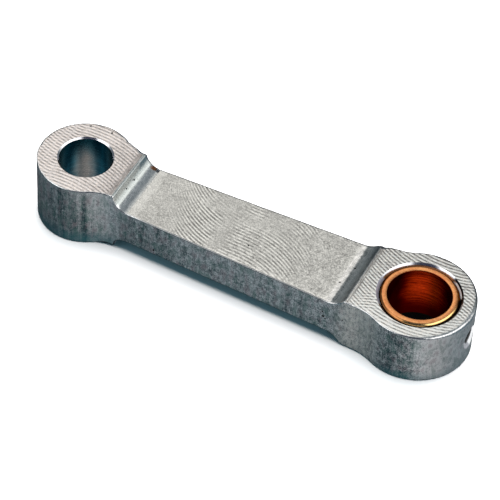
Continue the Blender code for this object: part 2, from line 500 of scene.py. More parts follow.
def make_rod_body(materials):
    mesh = Mesh()
    columns = outline()
    top, bottom = (edge_rows(mesh, columns, side) for side in (1, -1))
    mesh.stack(top, EDGE)
    mesh.stack(bottom, EDGE)
    add_walls(mesh, columns, top[-1], bottom[-1])
    mouth = [
        (SMALL_BORE_RADIUS + SMALL_BORE_CHAMFER, SMALL_HALF),
        (SMALL_BORE_RADIUS, SMALL_HALF - SMALL_BORE_CHAMFER),
    ]
    small = add_bore(mesh, 0.0, mouth, SMALL_BORE, SEAT)
    seat_mouth = SEAT_RADIUS + SEAT_CHAMFER
    mouth = [
        (seat_mouth, BIG_HALF),
        (GROOVE_RADIUS, BIG_HALF - (seat_mouth - GROOVE_RADIUS)),
        (GROOVE_RADIUS - GROOVE_DRAFT, BIG_HALF - GROOVE_DEPTH),
        (SEAT_RADIUS, BIG_HALF - GROOVE_DEPTH - GROOVE_FLOOR_DROP),
    ]
    big = add_bore(mesh, CENTRE_DISTANCE, mouth, GROOVE, SEAT)
    for rim, bores, side in ((top[0], (small[0], big[0]), 1), (bottom[0], (small[1], big[1]), -1)):
        add_face(mesh, rim, bores, side)
    return mesh.finish("rod_body_visual", materials)


# ------------------------ bush and cuts


def bush_section():
    """Half of the bush's section (radius, z), from mid-bore round to mid-outside."""
    end = BIG_HALF - BUSH_RECESS
    heights = (0.0, 0.8, 1.6, 2.4, end - 2.5 * BUSH_BORE_CHAMFER)
    points = [(BUSH_BORE_RADIUS, z) for z in heights]
    for k in range(1, 4):
        a = math.pi / 2 * k / 3
        radius = BUSH_BORE_RADIUS + BUSH_BORE_CHAMFER * (1 - math.cos(a))
        points.append((radius, end - BUSH_BORE_CHAMFER * (1 - math.sin(a))))
    top, low = BUSH_RADIUS - BUSH_CHAMFER, end - BUSH_CHAMFER
    points += [(top - 0.06, end), (top, end - 0.015)]
    points += [(BUSH_RADIUS - 0.02, low - 0.015), (BUSH_RADIUS, low - 0.06), (BUSH_RADIUS, 1.6)]
    return points


def make_bush(materials):
    mesh = Mesh()
    half = bush_section()
    section = half + [(r, -z) for r, z in reversed(half)][:-1]
    rows = [mesh.loop(CENTRE_DISTANCE, r, z, BUSH_COLUMNS) for r, z in section]
    mesh.stack(rows, 0)
    mesh.band(rows[-1], rows[0], 0)
    return mesh.finish("big_end_bush_visual", materials)


def cutter(name, work, material):
    """Turns a bmesh into a tool that leaves its material on what it cuts."""
    mesh = bpy.data.meshes.new(name)
    bmesh.ops.recalc_face_normals(work, faces=work.faces)
    work.to_mesh(mesh)
    work.free()
    mesh.materials.append(material)
    tool = bpy.data.objects.new(name, mesh)
    tool.location = ORIGIN * MM
    bpy.context.scene.collection.objects.link(tool)
    return tool


def oil_hole_cutter(material):
    """The oil hole along X, from inside the bush out through the tip, with its countersink."""
    work = bmesh.new()
    section = [
        (CENTRE_DISTANCE + BUSH_BORE_RADIUS - 1, OIL_HOLE_RADIUS),
        (TIP_X - OIL_HOLE_COUNTERSINK, OIL_HOLE_RADIUS),
        (TIP_X + CUTTER_OVERRUN, OIL_HOLE_RADIUS + OIL_HOLE_COUNTERSINK + CUTTER_OVERRUN),
    ]
    step = TURN / OIL_HOLE_COLUMNS
    ring = [(math.cos(i * step), math.sin(i * step)) for i in range(OIL_HOLE_COLUMNS)]
    rows = [
        [work.verts.new(Vector((x, radius * y, radius * z)) * MM) for y, z in ring]
        for x, radius in section
    ]
    for low, high in zip(rows, rows[1:]):
        for i in range(OIL_HOLE_COLUMNS):
            j = (i + 1) % OIL_HOLE_COLUMNS
            work.faces.new((low[i], low[j], high[j], high[i]))
    work.faces.new(rows[0])
    work.faces.new(rows[-1])
    return cutter("oil_hole_tool", work, material)


def pore_cutter(material):
    """Small lumpy balls where the metal has pores and knocks."""
    work = bmesh.new()
    for place, radius in PORES:
        ball = bmesh.ops.create_icosphere(work, subdivisions=2, radius=1.0)
        for vert in ball["verts"]:
            lump = 1 + 0.5 * noise.noise(vert.co * 1.3 + Vector(place) * 5.0)
            vert.co = (vert.co * radius * lump + Vector(place)) * MM
    return cutter("pore_tool", work, material)


def cut(piece, tool):
    """Takes a tool out of a piece and leaves plain mesh behind."""
    step = piece.modifiers.new("cut", "BOOLEAN")
    step.operation, step.object, step.solver = "DIFFERENCE", tool, "MANIFOLD"
    step.material_mode = "TRANSFER"
    depsgraph = bpy.context.evaluated_depsgraph_get()
    cut_mesh = bpy.data.meshes.new_from_object(piece.evaluated_get(depsgraph))
    piece.modifiers.clear()
    old = piece.data
    piece.data = cut_mesh
    cut_mesh.name = old.name + "_cut"
    bpy.data.meshes.remove(old)
    tool_mesh = tool.data
    bpy.data.objects.remove(tool)
    bpy.data.meshes.remove(tool_mesh)
    shade(cut_mesh)


# ------------------------ materials

# Distance between feed marks, and the beam's cutter path
FEED = 0.43
BEAM_PATH_MIDDLE = 20.0
BEAM_PATH_RADIUS = 11.5


def connect(tree, value, slot):
    """Feeds a socket from a field, or sets it to a plain number."""
    if isinstance(value, Field):
        tree.links.new(value.socket, slot)
    else:
        slot.default_value = value


class Field:
    """A value that varies over a surface, built up by ordinary arithmetic into shader nodes."""

    def __init__(self, tree, socket):
        self.tree, self.socket = tree, socket

    def math(self, operation, *others):
        node = self.tree.nodes.new("ShaderNodeMath")
        node.operation = operation
        for slot, value in zip(node.inputs, (self, *others)):
            connect(self.tree, value, slot)
        return Field(self.tree, node.outputs[0])

    def __add__(self, other):
        return self.math("ADD", other)

    def __sub__(self, other):
        return self.math("SUBTRACT", other)

    def __mul__(self, other):
        return self.math("MULTIPLY", other)

    def __truediv__(self, other):
        return self.math("DIVIDE", other)

    def __neg__(self):
        return self * -1.0

    __radd__, __rmul__ = __add__, __mul__

    def __rsub__(self, other):
        return -self + other

    def sin(self):
        return self.math("SINE")

    def root(self):
        return self.math("MAXIMUM", 0.0).math("SQRT")

    def size(self):
        return self.math("ABSOLUTE")

    def power(self, exponent):
        return self.math("POWER", exponent)

    def larger(self, other):
        return self.math("MAXIMUM", other)

    def step(self, low, high):
        """0 below low, 1 above high, smooth between. Low above high turns it round."""
        node = self.tree.nodes.new("ShaderNodeMapRange")
        node.interpolation_type = "SMOOTHSTEP"
        self.tree.links.new(self.socket, node.inputs["Value"])
        flipped = low > high
        node.inputs["From Min"].default_value = min(low, high)
        node.inputs["From Max"].default_value = max(low, high)
        node.inputs["To Min"].default_value = 1.0 if flipped else 0.0
        node.inputs["To Max"].default_value = 0.0 if flipped else 1.0
        return Field(self.tree, node.outputs["Result"])

    def near(self, middle, reach, core):
        """1 up to the core distance from the middle, 0 beyond the reach."""
        return (self - middle).size().step(reach, core)

    def between(self, start, full, fading, end):
        """0 below start, 1 from full to fading, 0 above end."""
        return self.step(start, full) * self.step(end, fading)


def mix_colours(tree, part, low, high):
    """A colour between two others. Each may be a colour or a colour socket."""
    node = tree.nodes.new("ShaderNodeMix")
    node.data_type = "RGBA"
    tree.links.new(part.socket, node.inputs["Factor"])
    for slot, value in zip((node.inputs[6], node.inputs[7]), (low, high)):
        if isinstance(value, tuple):
            slot.default_value = (*value, 1.0)
        else:
            tree.links.new(value, slot)
    return node.outputs[2]


class Shader:
    """A material's node tree, with the position in millimetres as x, y and z."""

    def __init__(self, name):
        self.material = bpy.data.materials.new(name)
        self.material.use_nodes = True
        self.tree = self.material.node_tree
        self.principled = self.tree.nodes["Principled BSDF"]
        place = self.tree.nodes.new("ShaderNodeTexCoord")
        scale = self.tree.nodes.new("ShaderNodeVectorMath")
        scale.operation = "SCALE"
        scale.inputs["Scale"].default_value = 1 / MM
        self.tree.links.new(place.outputs["Object"], scale.inputs[0])
        split = self.tree.nodes.new("ShaderNodeSeparateXYZ")
        self.tree.links.new(scale.outputs["Vector"], split.inputs[0])
        self.x, self.y, self.z = (Field(self.tree, out) for out in split.outputs)

    def noise(self, x, y, z, detail=2.0, rough=0.5, distortion=0.0):
        """Smooth noise from about 0.2 to 0.8. Coordinates come divided by their grain size."""
        node = self.tree.nodes.new("ShaderNodeTexNoise")
        node.inputs["Scale"].default_value = 1.0
        node.inputs["Detail"].default_value = detail
        node.inputs["Roughness"].default_value = rough
        node.inputs["Distortion"].default_value = distortion
        place = self.tree.nodes.new("ShaderNodeCombineXYZ")
        for slot, value in zip(place.inputs, (x, y, z)):
            connect(self.tree, value, slot)
        self.tree.links.new(place.outputs[0], node.inputs["Vector"])
        return Field(self.tree, node.outputs["Fac"])

    def grain(self, size, seed=0.0, detail=2.0):
        return self.noise(self.x / size + seed, self.y / size, self.z / size, detail)

    def distance(self, x, y):
        """Distance from the upright line through x, y."""
        dx, dy = self.x - x, self.y - y
        return (dx * dx + dy * dy).root()

    def patch(self, x0, x1, y0, y1, soft):
        """1 inside a range of X and Y, 0 outside, with soft borders."""
        along = self.x.between(x0 - soft, x0 + soft, x1 - soft, x1 + soft)
        return along * self.y.between(y0 - soft, y0 + soft, y1 - soft, y1 + soft)

    def spot(self, x, y, radius):
        """1 at a place on the top, falling to 0 at a ragged border."""
        ragged = (self.grain(0.25, 7.0) - 0.5) * (radius * 2.0)
        inside = (self.distance(x, y) + ragged).step(radius, radius * 0.5)
        return inside * self.z.step(0.0, 1.0)

    def mix(self, part, low, high):
        return mix_colours(self.tree, part, low, high)

    def finish(self, colour, roughness, height, metallic=1.0):
        """Connects the surface's values. The bump's height is in millimetres."""
        bump = self.tree.nodes.new("ShaderNodeBump")
        bump.inputs["Distance"].default_value = MM
        self.tree.links.new(height.socket, bump.inputs["Height"])
        self.tree.links.new(bump.outputs["Normal"], self.principled.inputs["Normal"])
        self.tree.links.new(colour, self.principled.inputs["Base Color"])
        self.tree.links.new(roughness.socket, self.principled.inputs["Roughness"])
        connect(self.tree, metallic, self.principled.inputs["Metallic"])
        return self.material


def arc_height(shader, middle, radius, way):
    """How far in Y a cutter's circular path has turned off from its middle point."""
    dx = shader.x - middle
    return (((dx * dx) * -1.0 + radius * radius).root() - radius) * way


def mill_lines(shader, path, wander, seed):
    """Feed marks from 0 in the groove to 1 on the crest, following a cutter path."""
    drift = shader.noise(shader.x / 2.5 + seed, shader.y / 2.5, shader.z, 1.0)
    phase = (shader.y - path) * (TURN / FEED) + drift * (2.2 * wander)
    return phase.sin() * 0.5 + 0.5


def face_material(name, path, seed, contrast, level, painted_light_slope, light, crossed, border):
    """A boss face: broken feed marks and fine grain. A painted light gradient lightens it towards
    -Y.

    The path is the cutter's: its middle in X, its radius and its direction. Inside the crossed
    patches a second set of marks shows. Beyond the border, given as X where the marks are whole
    and X where they have gone, the face is rubbed grey.
    """
    s = Shader(name)
    path = arc_height(s, *path)
    front = mill_lines(s, path, 0.2, seed).power(0.7) - 0.6
    back = mill_lines(s, -path, 0.4, seed + 5.0) - 0.5
    dash = s.noise(s.x / 0.4 + seed, (s.y - path) / 0.2, s.z, 1.0).step(0.34, 0.62)
    cross = s.patch(*crossed[0])
    for area in crossed[1:]:
        cross = cross.larger(s.patch(*area))
    whole = s.x.step(border[1], border[0])
    fine = s.noise(s.x / 0.4, (s.y - path) / 0.08 + seed, s.z, 3.0, 0.6) - 0.5
    speck = s.grain(0.11, seed, 3.0) - 0.5
    marks = front * (dash * 0.7 + 0.3) * (1.0 - cross * 0.5) + back * (cross * 0.6 + 0.14)
    rubbed = s.noise(s.x / 0.07, s.y / 2.5, s.z + seed, 2.0) - 0.5
    tone = marks * whole * contrast + (fine * 0.7 + speck) * (0.4 + 0.6 * contrast) + level
    tone = tone + (1.0 - whole) * (rubbed * 0.9 - 0.21) - s.x.near(border[0], 2.8, 0.3) * 0.07
    # The term in Y is painted light: the face gets lighter towards -Y.
    blotch = s.grain(1.7, seed + 3.0).step(0.3, 0.7) - 0.5 - s.y * painted_light_slope
    tint = s.grain(0.22, seed + 9.0, 1.0)
    light = s.mix(tint.step(0.35, 0.65), *light)
    colour = s.mix((tone + blotch * 0.1).step(0.0, 1.0), (0.125, 0.115, 0.11), light)
    roughness = 0.46 - tone * 0.1
    height = (front * 0.009 + back * 0.003) * whole + fine * 0.004 + speck * 0.005
    return s.finish(colour, roughness, height)


def beam_mark_strength(s, path):
    """How clear the beam's feed marks are: arcs by the small end, then dashes, then slants."""
    ragged = (s.grain(0.7, 21.0, 2.0) - 0.5) * 3.2
    left = (s.x + s.y * 0.25 + ragged - 12.6).step(-1.4, 1.4)
    right = (s.x + ragged * 0.5 + s.y.step(0.6, 1.6) * 2.6).step(17.4, 16.2)
    dashes = s.patch(18.6, 23.4, -4.6, 1.0, 0.8).larger(s.patch(18.8, 20.6, 2.4, 4.2, 0.7))
    slants = s.patch(23.2, 27.0, -4.4, 1.2, 1.0).larger(s.patch(24.2, 26.6, 2.3, 4.4, 0.7))
    faint = s.patch(9.0, 30.5, -4.6, 4.6, 1.5) * s.grain(1.5, 8.0, 1.0).step(0.4, 0.65)
    broken = s.noise(s.x / 0.36, (s.y - path) / 0.22, s.z, 2.0).step(0.38, 0.6)
    strength = left * right * (broken * 0.6 + 0.36) + dashes * broken * 0.75
    return strength + slants * (broken * 0.5 + 0.2) + faint * 0.2


def beam_material():
    """The beam's flats: one set of feed marks, clear in some patches and rubbed out in others."""
    s = Shader("aluminium_beam")
    way = (s.x - BEAM_PATH_MIDDLE).math("SIGN")
    path = arc_height(s, BEAM_PATH_MIDDLE, BEAM_PATH_RADIUS, way)
    lines = mill_lines(s, path, 0.4, 3.0) - 0.5
    strength = beam_mark_strength(s, path)
    swirl = s.noise(s.x / 0.35, s.y / 0.35, s.z, 3.0, 0.65, 1.0) - 0.5
    speck = s.grain(0.12, 2.0, 3.0) - 0.5
    blotch = s.grain(1.5, 5.0).step(0.3, 0.7) - 0.5
    # Painted highlight at the feet of both coves, and lighter patches along the -Y edge.
    foot = s.x.near(SMALL_FOOT + 0.4, 0.9, 0.2) + s.x.near(BIG_FOOT + 0.05, 0.7, 0.1)
    bright = s.y.step(-3.85, -4.1) * s.grain(0.35, 4.0, 1.0).step(0.35, 0.6) + foot * 0.8
    mottled = swirl * (s.x.step(25.5, 28.0) * 0.55 + 0.65)
    tone = lines * strength * 0.78 + mottled + speck + blotch * 0.08 + bright * 0.16 + 0.56
    colour = s.mix(tone.step(0.0, 1.1), (0.17, 0.165, 0.155), (0.95, 0.935, 0.885))
    roughness = 0.5 - tone * 0.1
    height = lines * strength * 0.007 + swirl * 0.005 + speck * 0.004
    return s.finish(colour, roughness, height)


def small_run_out_material():
    """The small end's cove: smooth, with painted highlight on its steep upper part and lip,
    painted shade in grey at its foot, a rust spot and a dark one.
    """
    s = Shader("aluminium_small_run_out")
    lines = s.noise(s.x / 0.05, s.y / 3.0, s.z / 0.05 + 1.0, 2.0) - 0.5
    speck = s.grain(0.15, 1.0, 3.0) - 0.5
    mottle = s.noise(s.x / 0.35, s.y / 0.5, s.z / 0.35, 2.0).step(0.35, 0.65)
    # Painted highlight on the steep upper part and the lip, and painted shade at the foot.
    bright = s.x.near(6.0, 0.3, 0.12)
    foot = s.x.between(6.2, 6.4, 6.95, 7.3)
    lip = s.x.near(5.45, 0.45, 0.2)
    tone = lines * 0.7 + speck * 0.9 + bright * (0.3 + mottle * 0.2) + 0.42
    tone = tone + lip * 0.12 - foot * 0.03
    colour = s.mix(tone.step(0.0, 1.0), (0.22, 0.23, 0.235), (0.84, 0.87, 0.84))
    colour = s.mix(foot * 0.4, colour, (0.50, 0.52, 0.56))
    rust, grime_and_shade = (0.27, 0.11, 0.05), (0.03, 0.035, 0.045)
    colour = s.mix(s.spot(6.68, 3.5, 0.38), colour, rust)
    colour = s.mix(s.spot(7.22, 3.5, 0.34), colour, grime_and_shade)
    return s.finish(colour, 0.24 + mottle * 0.12, lines * 0.003 + speck * 0.005)


def big_run_out_material():
    """The big end's cove: fine lines across the rod. Most of it is rougher and painted dark grey
    as shade, with a lighter painted band in its middle, and its foot and lip are painted bright as
    highlights.
    """
    s = Shader("aluminium_big_run_out")
    lines = s.noise(s.x / 0.07, s.y / 3.0, s.z / 0.07 + 2.0, 2.0) - 0.5
    speck = s.grain(0.14, 2.0, 3.0) - 0.5
    mottle = s.grain(0.55, 3.0, 3.0) - 0.5
    ragged = s.noise(s.x, s.y / 0.5, s.z, 2.0) - 0.5
    # Painted shade over the cove between foot and lip, which is also rougher there.
    dull_and_shaded = (s.x + ragged * 0.3).step(32.38, 32.6) * (s.x + ragged * 0.12).step(34.26, 34.18)
    middle = s.x.near(33.35, 0.6, 0.1)
    tone = lines * 0.6 + speck * 1.3 + mottle * 1.2 + middle * 0.08 + 0.5
    bright_colour = s.mix(tone.step(0.0, 1.0), (0.42, 0.42, 0.41), (0.92, 0.91, 0.88))
    dark = s.mix(tone.step(0.0, 1.0), (0.085, 0.10, 0.105), (0.34, 0.36, 0.365))
    dark = s.mix(middle * (0.36 + speck * 0.5), dark, (0.62, 0.66, 0.66))
    roughness = 0.3 + dull_and_shaded * 0.12 + speck * 0.06
    return s.finish(s.mix(dull_and_shaded, bright_colour, dark), roughness, lines * 0.002 + speck * 0.003)


def wall_streaks_and_painted_light(s):
    """Upright bands along the sides: narrow dark streaks, and broad bands of painted shade and
    painted light, lighter along the beam and round the big end.
    """
    dark = s.x.near(-0.25, 0.4, 0.08) * s.z.step(-3.0, 1.0) * 1.8
    dark = dark + s.x.near(2.52, 0.36, 0.08) * 1.7
    dark = dark + s.x.between(-1.6, -0.8, 1.4, 2.0) * 0.7 + s.x.near(40.6, 2.6, 0.6) * 2.0
    light = s.x.between(2.6, 3.4, 5.8, 7.4) * 0.23 + s.x.step(12.0, 16.0) * 0.16
    light = light + s.x.between(33.0, 34.6, 36.6, 40.2) * 0.50 + s.x.step(42.2, 44.2) * 0.40
    return light - dark * 0.13


def wall_material():
    """The rod's sides: upright cutter traces, stains, grit, and bands of painted light and shade.

    They are painted darker and teal towards the floor, as painted shade and a painted reflection
    of the shaded floor, painted lighter towards the big end's tip, and warmer where the beam joins
    the big end.
    """
    s = Shader("aluminium_wall")
    upright = s.noise(s.x / 0.14, s.y / 0.14, s.z / 1.6, 3.0, 0.65) - 0.5
    grit = s.grain(0.11, 1.0, 3.0) - 0.5
    patchy = s.grain(0.5, 4.0, 3.0) - 0.5
    band = s.noise(s.x / 0.9, s.y / 0.9, s.z / 12.0, 1.0) - 0.5
    rougher = s.x.step(30.0, 34.0) * 0.25 + 1.0 - s.x.step(9.0, 7.0) * 0.3
    tone = (upright * 0.9 + grit * 1.9 + patchy * 1.1) * rougher + band * 0.5
    # The term in Z is painted shade: the sides get darker towards the bottom.
    tone = tone + wall_streaks_and_painted_light(s) + s.z * 0.035 + 0.44
    colour = s.mix(tone.step(-0.05, 1.25), (0.04, 0.085, 0.095), (0.98, 0.98, 0.97))
    stain = s.noise(s.x / 0.6 + 3.0, s.y / 0.6, s.z / 1.3, 3.0)
    colour = s.mix(stain.step(0.48, 0.68) * 0.5, colour, (0.13, 0.25, 0.22))
    colour = s.mix(stain.step(0.48, 0.30) * 0.4, colour, (0.37, 0.27, 0.29))
    # Painted reflection of the shaded teal floor on the lower part of the sides.
    colour = s.mix(s.z.step(-1.7, -3.6) * 0.6, colour, (0.04, 0.19, 0.22))
    # Painted light towards the big end's tip.
    colour = s.mix(s.x.step(42.5, 45.5) * 0.4, colour, (0.56, 0.50, 0.48))
    warm_tone = (tone * 0.6 + patchy * 0.3 - 0.1).step(0.0, 1.0)
    warm = s.mix(warm_tone, (0.28, 0.265, 0.245), (1.0, 0.91, 0.80))
    colour = s.mix(s.x.between(32.0, 35.0, 37.0, 40.5) * 0.65, colour, warm)
    roughness = 0.44 + (grit + 0.5) * 0.2
    height = upright * 0.005 + grit * 0.010 + patchy * 0.004
    return s.finish(colour, roughness, height)


def edge_material():
    """Broken edges, smoother than the faces they join. Painted dark towards +Y as a reflection of
    the dark studio behind, and painted dark below as shade.
    """
    s = Shader("aluminium_edge")
    rub = s.grain(0.25, 6.0, 3.0)
    bright_colour = s.mix(rub.step(0.25, 0.75), (0.42, 0.43, 0.44), (0.84, 0.83, 0.82))
    dark = s.mix(rub.step(0.25, 0.75), (0.09, 0.095, 0.10), (0.36, 0.36, 0.36))
    on_beam = s.x.between(8.0, 10.0, 31.0, 33.0)
    bright_colour = s.mix(on_beam * (0.35 + rub * 0.7), bright_colour, (0.14, 0.15, 0.155))
    dark = s.mix(s.x.between(1.0, 2.5, 7.5, 9.0) * 0.7, dark, (0.62, 0.63, 0.64))
    around = s.y - s.x.step(42.0, 45.5) * 1.6
    # Painted reflection: the edges towards +Y take the dark colour.
    colour = s.mix(around.step(-1.5, 1.0), bright_colour, dark)
    rust = ((s.x - 6.75).size() + (s.y - 4.0).size() * 0.5).step(0.42, 0.2)
    colour = s.mix(rust, colour, (0.30, 0.10, 0.04))
    # Painted shade on the lower edges.
    colour = s.mix(s.z.step(1.0, -1.0), colour, (0.05, 0.06, 0.065))
    return s.finish(colour, 0.16 + rub * 0.14, rub * 0.008)


def bore_tone(s):
    """Rings round a bore's axis, stains along it, and specks."""
    rings = s.noise(s.x / 6.0, s.y / 6.0, s.z / 0.09, 3.0, 0.6) - 0.5
    stain = s.noise(s.x / 1.1, s.y / 1.1, s.z / 7.0, 2.0) - 0.5
    speck = s.grain(0.2, 9.0, 2.0) - 0.5
    return rings, speck, (rings * 0.8 + speck * 0.4 + stain * 0.9 + 0.5).step(0.0, 1.0)


def oil_hole_material():
    """Drilled metal, painted near white and matt as a painted highlight. It is grey towards -Y,
    and painted black deep down towards +Y as shade in the hole.
    """
    s = Shader("aluminium_oil_hole")
    rings, speck, tone = bore_tone(s)
    # Painted highlight: near white and hardly metallic.
    colour = s.mix(tone, (0.92, 0.92, 0.92), (1.0, 1.0, 1.0))
    colour = s.mix(s.y.step(0.4, 0.1), colour, (0.40, 0.41, 0.44))
    # Painted shade deep in the hole.
    deep = s.x.step(TIP_X - 0.28, TIP_X - 0.36) * s.y.step(-0.3, 0.0)
    colour = s.mix(deep, colour, (0.02, 0.02, 0.02))
    return s.finish(colour, 0.4 + (speck + 0.5) * 0.15, rings * 0.004, 0.1)


def seat_material():
    """The chamfers round both bores. The big end's is blue-grey and less metallic on its inner
    side.

    Its outer side is painted black as a dark reflection, apart from two white, less metallic
    streaks of painted highlight.
    """
    s = Shader("aluminium_seat")
    rings, speck, tone = bore_tone(s)
    across = s.x - CENTRE_DISTANCE + (s.grain(0.4, 3.0, 1.0) - 0.5) * 0.6
    colour = s.mix(tone, (0.50, 0.50, 0.54), (0.90, 0.895, 0.92))
    blue_grey_side = across.step(-3.0, -3.6) * s.x.step(30.0, 31.0) * s.y.step(0.7, 0.2)
    colour = s.mix(blue_grey_side, colour, s.mix(tone, (0.26, 0.27, 0.34), (0.50, 0.50, 0.58)))
    # Painted dark reflection on the big seat's +X side.
    colour = s.mix(across.step(2.0, 2.6), colour, (0.012, 0.013, 0.02))
    radius = s.distance(CENTRE_DISTANCE, 0.0) - GROOVE_RADIUS
    inner = radius.step(0.19, 0.13) * s.y.between(1.5, 2.1, 3.5, 3.9)
    outer = radius.step(0.14, 0.20) * s.y.step(1.4, 0.8)
    # Painted highlights: two white streaks standing in for the softbox's reflection.
    painted_highlight = (inner + outer * 0.5) * (s.x - CENTRE_DISTANCE).step(1.6, 2.0)
    colour = s.mix(painted_highlight, colour, (0.94, 0.94, 0.95))
    metallic = 1.0 - (blue_grey_side + painted_highlight).step(0.0, 1.0) * 0.85
    return s.finish(colour, 0.12 + (speck + 0.5) * 0.15, rings * 0.004, metallic)


def small_bore_material():
    """The small end's bore: painted dark blue-green as shade inside it, with a lighter, browner
    stripe of painted reflection on its +Y side, fading towards the top.
    """
    s = Shader("aluminium_small_bore")
    rings, speck, tone = bore_tone(s)
    angle = s.y.math("ARCTAN2", s.x) + (s.grain(1.5, 2.0, 1.0) - 0.5) * 0.4
    # Painted reflection on the inner wall that faces the camera; the rest is painted shade.
    stripe = angle.near(math.radians(121), 0.7, 0.0) * s.z.step(3.6, 0.6)
    shaded_bore = s.mix(tone, (0.004, 0.05, 0.075), (0.05, 0.28, 0.35))
    lit_bore = s.mix(tone, (0.12, 0.14, 0.14), (0.50, 0.45, 0.41))
    return s.finish(s.mix(stripe, shaded_bore, lit_bore), 0.17 + (speck + 0.5) * 0.15, rings * 0.004)


def groove_material():
    """The gap round the bush and the hidden seat behind it, painted black as the shade in the gap.
    """
    s = Shader("aluminium_groove")
    # Painted shade: near black all over the gap.
    grime_and_shade = s.grain(0.3, 5.0, 2.0)
    colour = s.mix(grime_and_shade, (0.006, 0.007, 0.01), (0.05, 0.05, 0.055))
    return s.finish(colour, 0.5 + grime_and_shade * 0.3, grime_and_shade * 0.01)


def bronze_material():
    """Turned bronze: rings round the bush's axis, and browner patches.

    The bore is painted dark red as shade inside it, and brighter with streaks on its +Y side a
    little above the middle, as a painted reflection. The outer chamfer is painted bright only
    towards +X and -Y as a painted highlight, and dark brown elsewhere as painted shade.
    """
    s = Shader("bronze_turned")
    dx = s.x - CENTRE_DISTANCE
    radius = s.distance(CENTRE_DISTANCE, 0.0)
    rings = s.noise(radius / 0.05, dx / 5.0, s.z / 0.07 + s.y / 5.0, 3.0, 0.6) - 0.5
    stain = s.grain(0.6, 2.0, 3.0).step(0.4, 0.66)
    speck = s.grain(0.25, 3.0, 2.0) - 0.5
    tone = rings + speck * 0.8 + 0.5
    colour = s.mix(tone.step(0.0, 1.0), (0.44, 0.14, 0.045), (1.0, 0.49, 0.20))
    colour = s.mix(stain * 0.45, colour, (0.62, 0.21, 0.09))
    chamfer = radius.step(BUSH_RADIUS - BUSH_CHAMFER, BUSH_RADIUS - BUSH_CHAMFER + 0.03)
    # Painted highlight on the chamfer towards +X and -Y, painted shade elsewhere.
    edge = s.mix(dx.step(-0.6, 1.2) * s.y.step(0.8, -0.8), (0.22, 0.09, 0.03), (0.95, 0.66, 0.26))
    colour = s.mix(chamfer * 0.8, colour, edge)
    in_bore = radius.step(BUSH_BORE_RADIUS + 0.06, BUSH_BORE_RADIUS + 0.01)
    streaks = s.noise(dx / 3.0, s.y / 3.0, s.z / 0.2, 3.0, 0.6, 0.6) - 0.5
    angle = s.y.math("ARCTAN2", dx) + (s.grain(1.5, 2.0, 1.0) - 0.5) * 0.5
    # Painted reflection on the bore's +Y side, fading to painted shade deeper down.
    bore_reflection = angle.near(math.radians(100), 0.95, 0.25) * s.z.near(1.5, 4.2, 0.8)
    streaks = (streaks * 1.8 + speck * 0.4 + 0.5).step(0.0, 1.0)
    lit_bore = s.mix(streaks, (0.16, 0.002, 0.002), (0.95, 0.066, 0.009))
    shaded_bore = s.mix(bore_reflection, (0.06, 0.001, 0.001), lit_bore)
    colour = s.mix(in_bore, colour, shaded_bore)
    roughness = 0.28 + speck * 0.15 - in_bore * 0.02 - chamfer * 0.1
    s.principled.inputs["Specular Tint"].default_value = (0.75, 0.30, 0.14, 1.0)
    return s.finish(colour, roughness, rings * 0.003 + speck * 0.002)


def pit_material():
    """The pores: rough, and dark with dirt and painted shade in their hollows."""
    s = Shader("aluminium_pit")
    speck = s.grain(0.05, 1.0, 2.0)
    # Near black: dirt, and painted shade in the hollows.
    colour = s.mix(speck, (0.02, 0.02, 0.02), (0.09, 0.085, 0.08))
    return s.finish(colour, 0.7 + speck * 0.2, speck * 0.01)


def floor_material(name, colour):
    material = bpy.data.materials.new(name)
    material.use_nodes = True
    principled = material.node_tree.nodes["Principled BSDF"]
    principled.inputs["Base Color"].default_value = colour
    principled.inputs["Roughness"].default_value = 0.9
    principled.inputs["Specular IOR Level"].default_value = 0.0
    return material


def rod_materials():
    small_crossed = [(-6.0, -2.4, -4.4, 4.4, 0.8)]
    big_crossed = [(44.6, 47.5, -1.2, 3.4, 0.6), (35.6, 37.2, -4.6, -2.6, 0.5)]
    return [
        face_material(
            "aluminium_small_face", path=(-0.4, 12.5, 1.0), seed=0.0, contrast=0.54, level=0.635,
            painted_light_slope=0.0, light=((0.93, 0.88, 0.865), (0.98, 0.89, 0.835)), crossed=small_crossed,
            border=(4.5, 5.15),
        ),
        small_run_out_material(),
        beam_material(),
        big_run_out_material(),
        face_material(
            "aluminium_big_face", path=(CENTRE_DISTANCE + 0.3, 12.7, -1.0), seed=20.0,
            contrast=0.85, level=0.625, painted_light_slope=0.19, crossed=big_crossed, border=(34.75, 34.45),
            light=((0.90, 0.92, 0.90), (0.945, 0.92, 0.87)),
        ),
        wall_material(),
        edge_material(),
        small_bore_material(),
        seat_material(),
        oil_hole_material(),
        pit_material(),
        groove_material(),
    ]


# ------------------------ studio

FLOOR_TILT = math.radians(0.832)
FLOOR_CONTACT_X = -15.1
FLOOR_HALF = 900.0

# The lamp makes the floor white. Where it doesn't reach, the floor shows its own dull teal.
FLOOR_COLOUR = (0.13, 0.25, 0.30, 1.0)
FLOOR_LAMP_COLOUR = (1.0, 0.492, 0.403)
FLOOR_LAMP_RADIANCE = 59.1
FLOOR_LAMP_SIZE = (0.8, 0.9)
FLOOR_LAMP_DIRECTION = (0.0, 0.22, 1.0)
FLOOR_LAMP_DISTANCE = 0.8

# The patch of floor under the big end's bore, painted dark as the shade there
BORE_SHADE_COLOUR = (0.03, 0.03, 0.03, 1.0)
PATCH_CORNERS = 48
PATCH_RISE = 0.01

CAMERA_PLACE = Vector((82.06, -179.40, 215.73))
CAMERA_AIM = Vector((-0.05, -0.21, 4.0))
CAMERA_ROLL = math.radians(3.44)
CAMERA_LENS = 190.68
SENSOR = 36.0


def floor_height(x):
    return (x - FLOOR_CONTACT_X) * math.tan(FLOOR_TILT)


